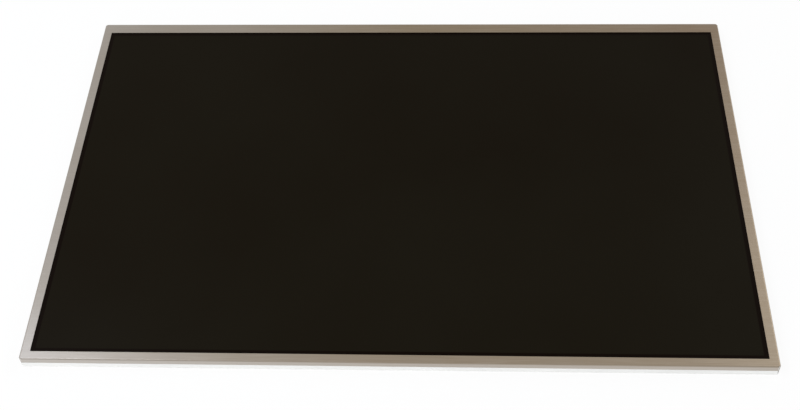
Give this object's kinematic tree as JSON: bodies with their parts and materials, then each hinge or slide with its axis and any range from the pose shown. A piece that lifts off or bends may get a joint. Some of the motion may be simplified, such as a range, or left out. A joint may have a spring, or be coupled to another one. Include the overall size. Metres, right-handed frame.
{
  "type": "laptop screen panel",
  "caption": "Flat liquid crystal display module for a laptop lid: steel front bezel round a dark screen, moulded frame, sheet metal back and driver board.",
  "frame": {"origin": "centre of the rear plane, on which the panel lies with its screen up", "axes": "+X along the panel's width, +Y up the picture towards the wide edge with the driver board, +Z out of the screen"},
  "size_m": [0.344, 0.222, 0.0062],
  "materials": {
    "bezel_steel": "satin steel sheet with a warm tint",
    "screen": "anti-glare, nearly black",
    "cell_glass": "polished",
    "seal": "cured resin",
    "frame_white": "moulded, white",
    "film_clear": "optical film",
    "film_white": "diffusing film",
    "guide_clear": "clear, polished",
    "reflector_white": "white film",
    "tape_black": "adhesive tape",
    "foam": "closed-cell foam and soft rubber",
    "flex_amber": "polyimide",
    "diode": "white package with a yellow window",
    "chassis_alloy": "rolled sheet",
    "screw_steel": "nickel plated",
    "board_green": "solder mask",
    "chip_black": "moulded resin",
    "ferrite": "ferrite",
    "cover_clear": "smoky clear film",
    "socket_black": "moulded resin",
    "contact_gold": "gold plated",
    "capacitor_tan": "ceramic with tinned ends",
    "resistor_black": "ceramic with tinned ends",
    "plug_white": "moulded resin"
  },
  "bodies": {
    "root": {"front_bezel": "bezel_steel", "bezel_gasket": "foam", "front_polariser": "screen", "colour_filter_glass": "cell_glass", "cell_seal": "seal", "array_glass": "cell_glass", "rear_polariser": "screen", "gate_driver_1": "chip_black", "gate_driver_2": "chip_black", "gate_driver_3": "chip_black", "source_film_1": "flex_amber", "source_film_2": "flex_amber", "source_film_3": "flex_amber", "source_film_4": "flex_amber", "source_driver_1": "chip_black", "source_driver_2": "chip_black", "source_driver_3": "chip_black", "source_driver_4": "chip_black", "mould_frame": "frame_white", "cell_tape": "tape_black", "upper_diffuser": "film_white", "upper_prism_film": "film_clear", "lower_prism_film": "film_clear", "lower_diffuser": "film_white", "light_guide": "guide_clear", "reflector": "reflector_white", "light_bar_flex": "flex_amber", "light_bar_tape": "tape_black", "light_bar_diodes": "diode", "guide_pad_1": "foam", "guide_pad_2": "foam", "guide_pad_3": "foam", "guide_pad_4": "foam", "rear_chassis": "chassis_alloy", "chassis_screws": "screw_steel", "board_tape": "tape_black", "driver_board": "board_green", "board_screws": "screw_steel", "board_cover": "cover_clear", "connector_housing": "socket_black", "connector_shell": "screw_steel", "connector_contacts": "contact_gold", "timing_controller": "chip_black", "led_driver": "chip_black", "gamma_buffer": "chip_black", "memory_chip": "chip_black", "power_inductor_1": "ferrite", "power_inductor_2": "ferrite", "board_capacitors": "capacitor_tan", "board_resistors": "resistor_black", "light_bar_connector": "plug_white"}
  },
  "joints": []
}
